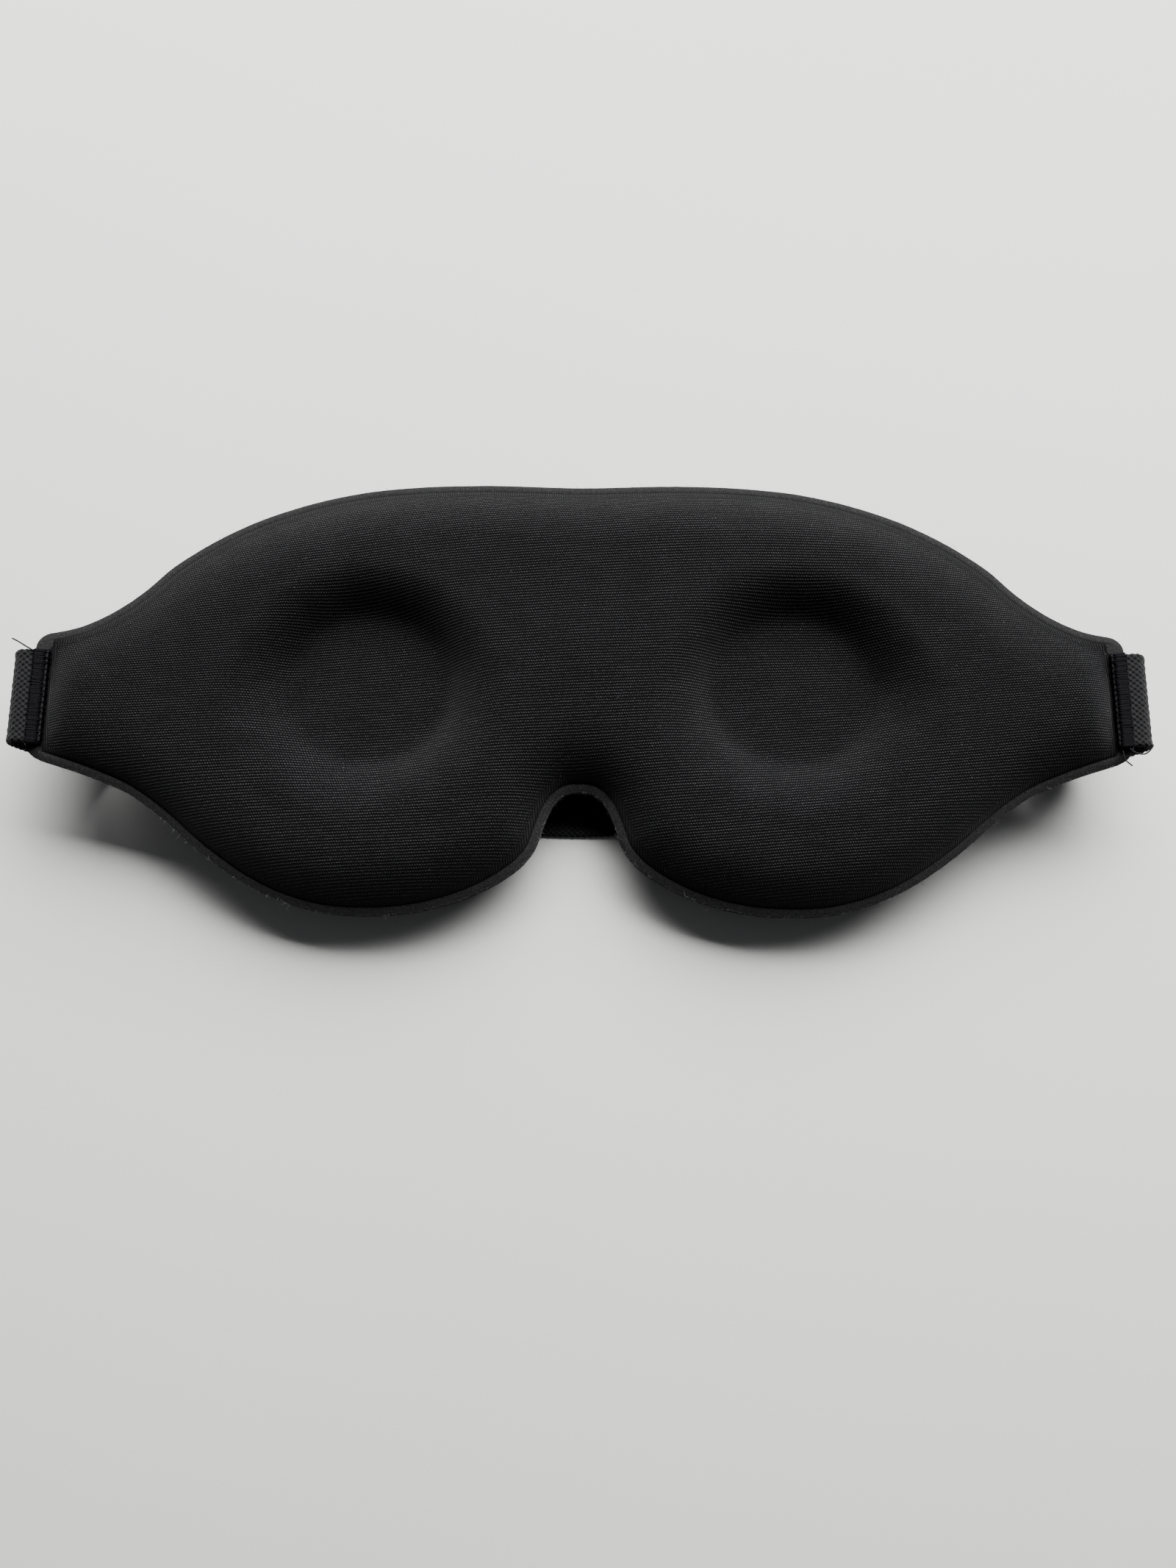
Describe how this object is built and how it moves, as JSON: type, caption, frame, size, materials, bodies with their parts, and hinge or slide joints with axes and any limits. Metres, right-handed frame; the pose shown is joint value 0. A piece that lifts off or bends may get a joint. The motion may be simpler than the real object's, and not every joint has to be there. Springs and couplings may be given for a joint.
{
  "type": "sleep eye mask",
  "caption": "Contoured padded sleep mask with hollow eye cups and a nose notch, sewn to an elastic webbing strap with a ring and slider adjuster, strap folded underneath.",
  "frame": {"origin": "centre of the bounding box's underside, where the folded strap rests", "axes": "+X along the mask to the adjuster's side, +Y towards the brow edge, +Z from the front of the mask to its face side"},
  "size_m": [0.2394, 0.098, 0.0234],
  "materials": {
    "face_knit": "fine matt black knit",
    "foam": "black moulded foam, seen only on its pressed edge",
    "front_knit": "fine matt black knit",
    "thread": "black sewing thread with a slight sheen",
    "webbing": "black woven elastic webbing",
    "plastic": "moulded black plastic, semi-matt"
  },
  "bodies": {
    "strap": {"strap_run": "webbing", "left_strap_end": "webbing", "right_strap_end": "webbing", "return_run": "webbing", "tab_loop": "webbing", "tab_stitch": "thread"},
    "mask": {"face_cover": "face_knit", "foam_core": "foam", "front_cover": "front_knit", "left_bar_tack": "thread", "right_bar_tack": "thread"},
    "ring": {"adjuster_ring": "plastic"},
    "slider": {"adjuster_slider": "plastic", "slider_loop": "webbing", "slider_stitch": "thread"}
  },
  "joints": [
    {"name": "strap_stretch", "type": "slide", "parent": "strap", "child": "mask", "axis": [0, 0, 1], "range_m": [0, 0.025], "stiffness_N_per_m": 25, "deforming": ["left_strap_end", "right_strap_end"]},
    {"name": "ring_swing", "type": "hinge", "parent": "strap", "child": "ring", "pos_m": [0.1052, -0.00682, 0.0037], "axis": [-0.1499, 0.9887, 0], "range_deg": [0, 12]},
    {"name": "slider_slide", "type": "slide", "parent": "strap", "child": "slider", "axis": [-0.9887, -0.1499, 0], "range_m": [0, 0.014], "deforming": ["return_run"]}
  ]
}
